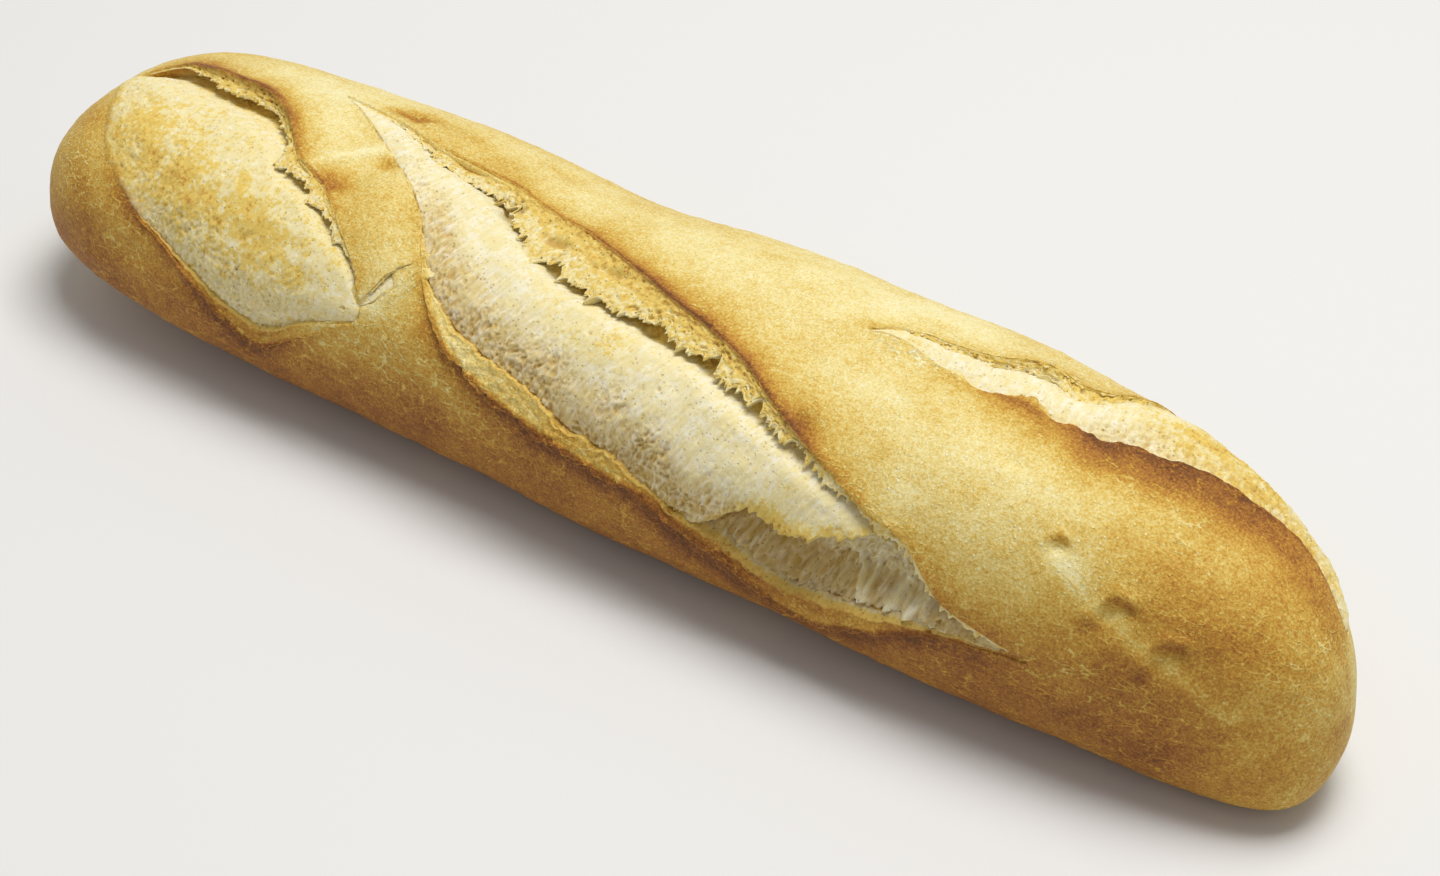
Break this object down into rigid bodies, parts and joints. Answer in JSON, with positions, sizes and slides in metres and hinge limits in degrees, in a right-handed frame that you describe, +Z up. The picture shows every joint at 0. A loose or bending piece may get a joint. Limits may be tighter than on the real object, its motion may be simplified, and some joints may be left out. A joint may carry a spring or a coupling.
{
  "type": "baguette",
  "caption": "Short crusty bread loaf with a flat base, split open on top by slanting cuts that show the pale crumb inside.",
  "frame": {"origin": "centre of the base, on the surface the loaf lies on", "axes": "+X along the loaf towards its taller right end, +Z up, -Y towards the front that the cuts lean to"},
  "size_m": [0.2858, 0.0676, 0.054],
  "materials": {
    "crust": "matt baked crust, golden to brown, with pale cream crumb in the cuts"
  },
  "bodies": {
    "root": {"loaf": "crust"}
  },
  "joints": []
}
